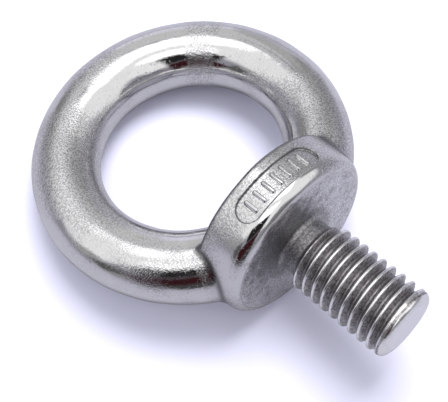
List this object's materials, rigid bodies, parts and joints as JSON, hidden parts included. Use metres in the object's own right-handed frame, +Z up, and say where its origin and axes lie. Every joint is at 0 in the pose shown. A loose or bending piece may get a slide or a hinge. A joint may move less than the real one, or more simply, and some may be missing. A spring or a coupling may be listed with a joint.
{
  "type": "lifting eye bolt",
  "caption": "Lifting eye bolt with a round eye on a thick collar, a flat seat, a thread undercut and a short coarse-threaded shank.",
  "frame": {"origin": "centre of the flat seat under the collar", "axes": "+Z up the bolt's axis, from the shank through the collar to the top of the eye; the eye's hole runs along Y; the marked wall of the collar faces -Y"},
  "size_m": [0.045, 0.0246, 0.0608],
  "materials": {
    "cast_stainless": "cast stainless steel, tumbled to a soft polish with fine pits",
    "rolled_thread": "rolled stainless thread, bright crests and darker flanks"
  },
  "bodies": {
    "root": {"eye_ring": "cast_stainless", "collar": "cast_stainless", "marking_bars": "cast_stainless", "shank_neck": "cast_stainless", "threaded_shank": "rolled_thread", "shank_tip": "rolled_thread"}
  },
  "joints": []
}
